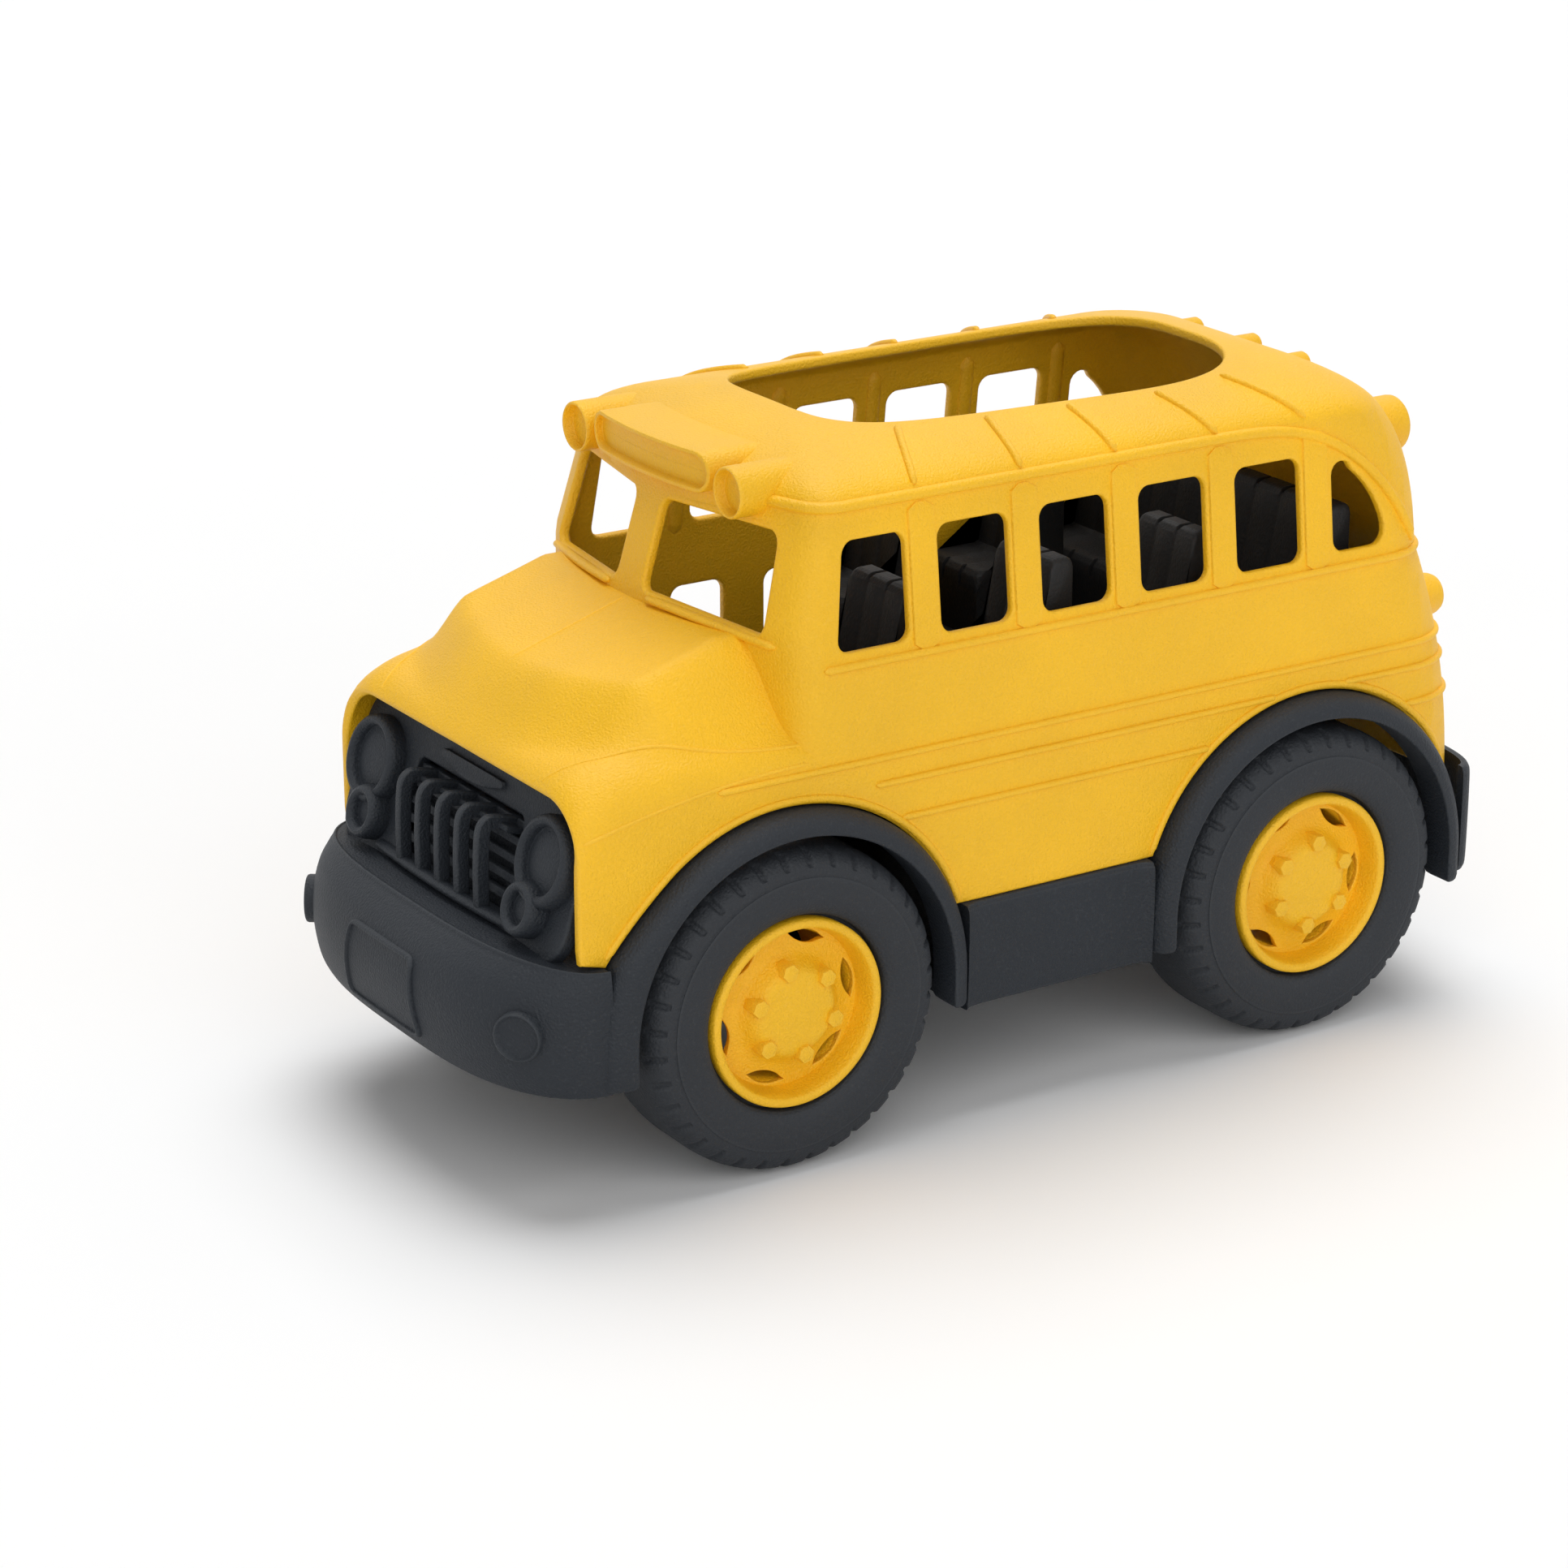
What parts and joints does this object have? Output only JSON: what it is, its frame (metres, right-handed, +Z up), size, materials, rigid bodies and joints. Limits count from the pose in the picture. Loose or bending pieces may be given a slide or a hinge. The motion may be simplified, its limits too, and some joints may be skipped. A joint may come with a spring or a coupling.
{
  "type": "toy bus",
  "caption": "Moulded plastic toy bus with a snub bonnet, an open roof over a seat insert, dark fenders, sills and bumpers, and large free-running wheels on plain axles.",
  "frame": {"origin": "middle of the bus between the sides and between the bumpers, on the ground under the wheels", "axes": "+X towards the front bumper, +Y to the left side, +Z up"},
  "size_m": [0.2699, 0.118, 0.1575],
  "materials": {
    "yellow_plastic": "fine moulded grain",
    "charcoal_plastic": "fine moulded grain with pale specks",
    "tyre_plastic": "matt moulded"
  },
  "bodies": {
    "bus": {"body_shell": "yellow_plastic", "floor_pan": "charcoal_plastic", "seat_insert": "charcoal_plastic", "grille_panel": "charcoal_plastic", "front_bumper": "charcoal_plastic", "rear_bumper": "charcoal_plastic", "fender_front_left": "charcoal_plastic", "fender_front_right": "charcoal_plastic", "fender_rear_left": "charcoal_plastic", "fender_rear_right": "charcoal_plastic", "sill_left": "charcoal_plastic", "sill_right": "charcoal_plastic", "front_axle": "charcoal_plastic", "rear_axle": "charcoal_plastic"},
    "wheel_front_left": {"tyre_front_left": "tyre_plastic", "hub_front_left": "yellow_plastic"},
    "wheel_front_right": {"tyre_front_right": "tyre_plastic", "hub_front_right": "yellow_plastic"},
    "wheel_rear_left": {"tyre_rear_left": "tyre_plastic", "hub_rear_left": "yellow_plastic"},
    "wheel_rear_right": {"tyre_rear_right": "tyre_plastic", "hub_rear_right": "yellow_plastic"}
  },
  "joints": [
    {"name": "spin_front_left", "type": "hinge", "parent": "bus", "child": "wheel_front_left", "pos_m": [0.0625, 0.045, 0.0372], "axis": [0, 1, 0], "continuous": true},
    {"name": "spin_front_right", "type": "hinge", "parent": "bus", "child": "wheel_front_right", "pos_m": [0.0625, -0.045, 0.0372], "axis": [0, 1, 0], "continuous": true},
    {"name": "spin_rear_left", "type": "hinge", "parent": "bus", "child": "wheel_rear_left", "pos_m": [-0.08, 0.045, 0.0372], "axis": [0, 1, 0], "continuous": true},
    {"name": "spin_rear_right", "type": "hinge", "parent": "bus", "child": "wheel_rear_right", "pos_m": [-0.08, -0.045, 0.0372], "axis": [0, 1, 0], "continuous": true}
  ]
}
